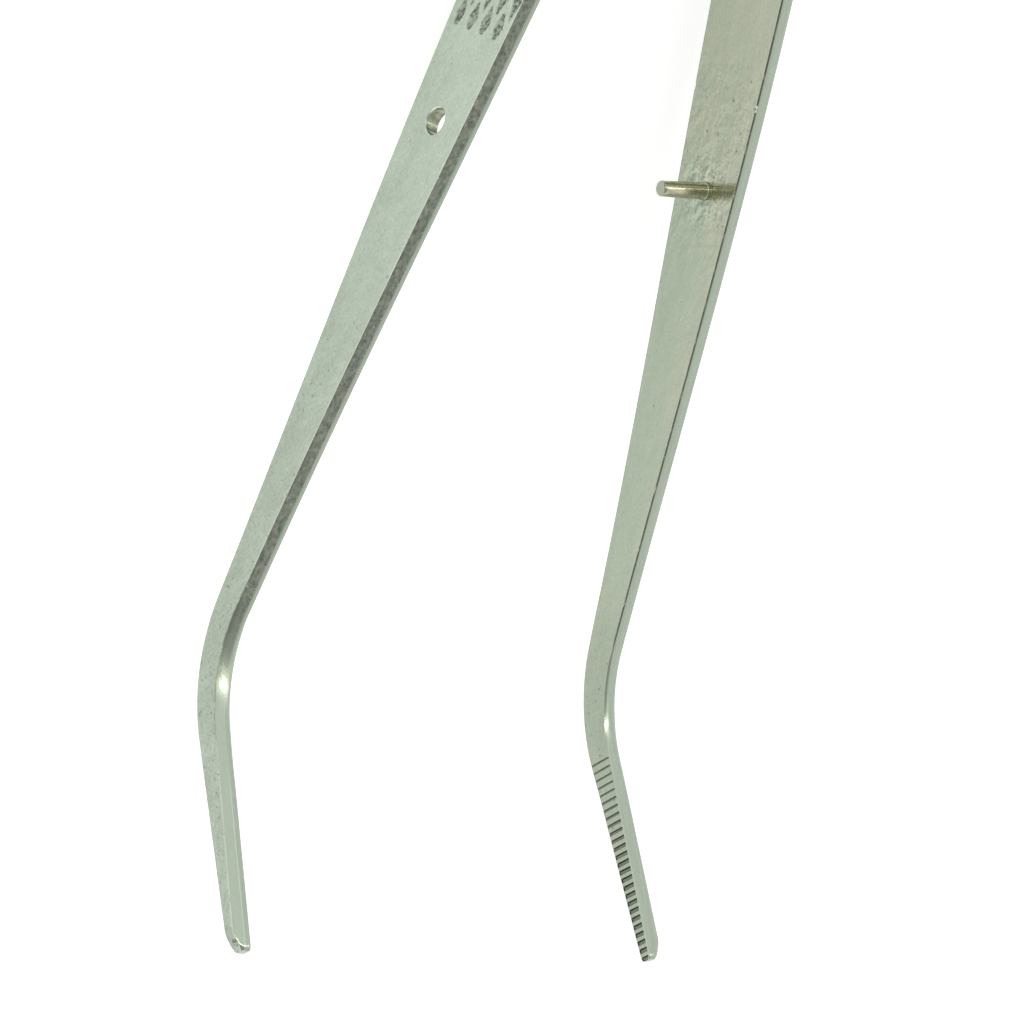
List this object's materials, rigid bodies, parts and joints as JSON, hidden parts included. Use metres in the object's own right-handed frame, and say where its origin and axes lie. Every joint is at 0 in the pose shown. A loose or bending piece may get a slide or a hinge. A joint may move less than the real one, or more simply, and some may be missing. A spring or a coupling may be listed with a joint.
{
  "type": "angled spring forceps",
  "caption": "Stainless spring forceps with angled serrated tips, a guide pin and hole, and knurled grips; pinching the two arms closes the tips.",
  "frame": {"origin": "middle of the overall length and of the opening, on the surface that the tool lies on", "axes": "+Y along the tool towards the welded head, +X towards the blade with the guide pin, +Z the way the tips turn up"},
  "size_m": [0.0424, 0.1527, 0.0207],
  "materials": {
    "blade_steel": "satin stainless, pale and slightly green-grey, fine grinding marks",
    "pin_steel": "turned stainless, smooth, slightly warm"
  },
  "bodies": {
    "head": {"left_blade_heel": "blade_steel", "right_blade_heel": "blade_steel"},
    "left_arm": {"left_blade_arm": "blade_steel"},
    "right_arm": {"right_blade_arm": "blade_steel", "guide_pin": "pin_steel"}
  },
  "joints": [
    {"name": "left_flex", "type": "hinge", "parent": "head", "child": "left_arm", "pos_m": [-0.00107, 0.0619, 0.00445], "axis": [0, 0, 1], "range_deg": [0, 8.1], "stiffness_Nm_per_rad": 1.5},
    {"name": "right_flex", "type": "hinge", "parent": "head", "child": "right_arm", "pos_m": [0.00107, 0.0619, 0.00445], "axis": [0, 0, -1], "range_deg": [0, 8.1], "stiffness_Nm_per_rad": 1.5}
  ]
}
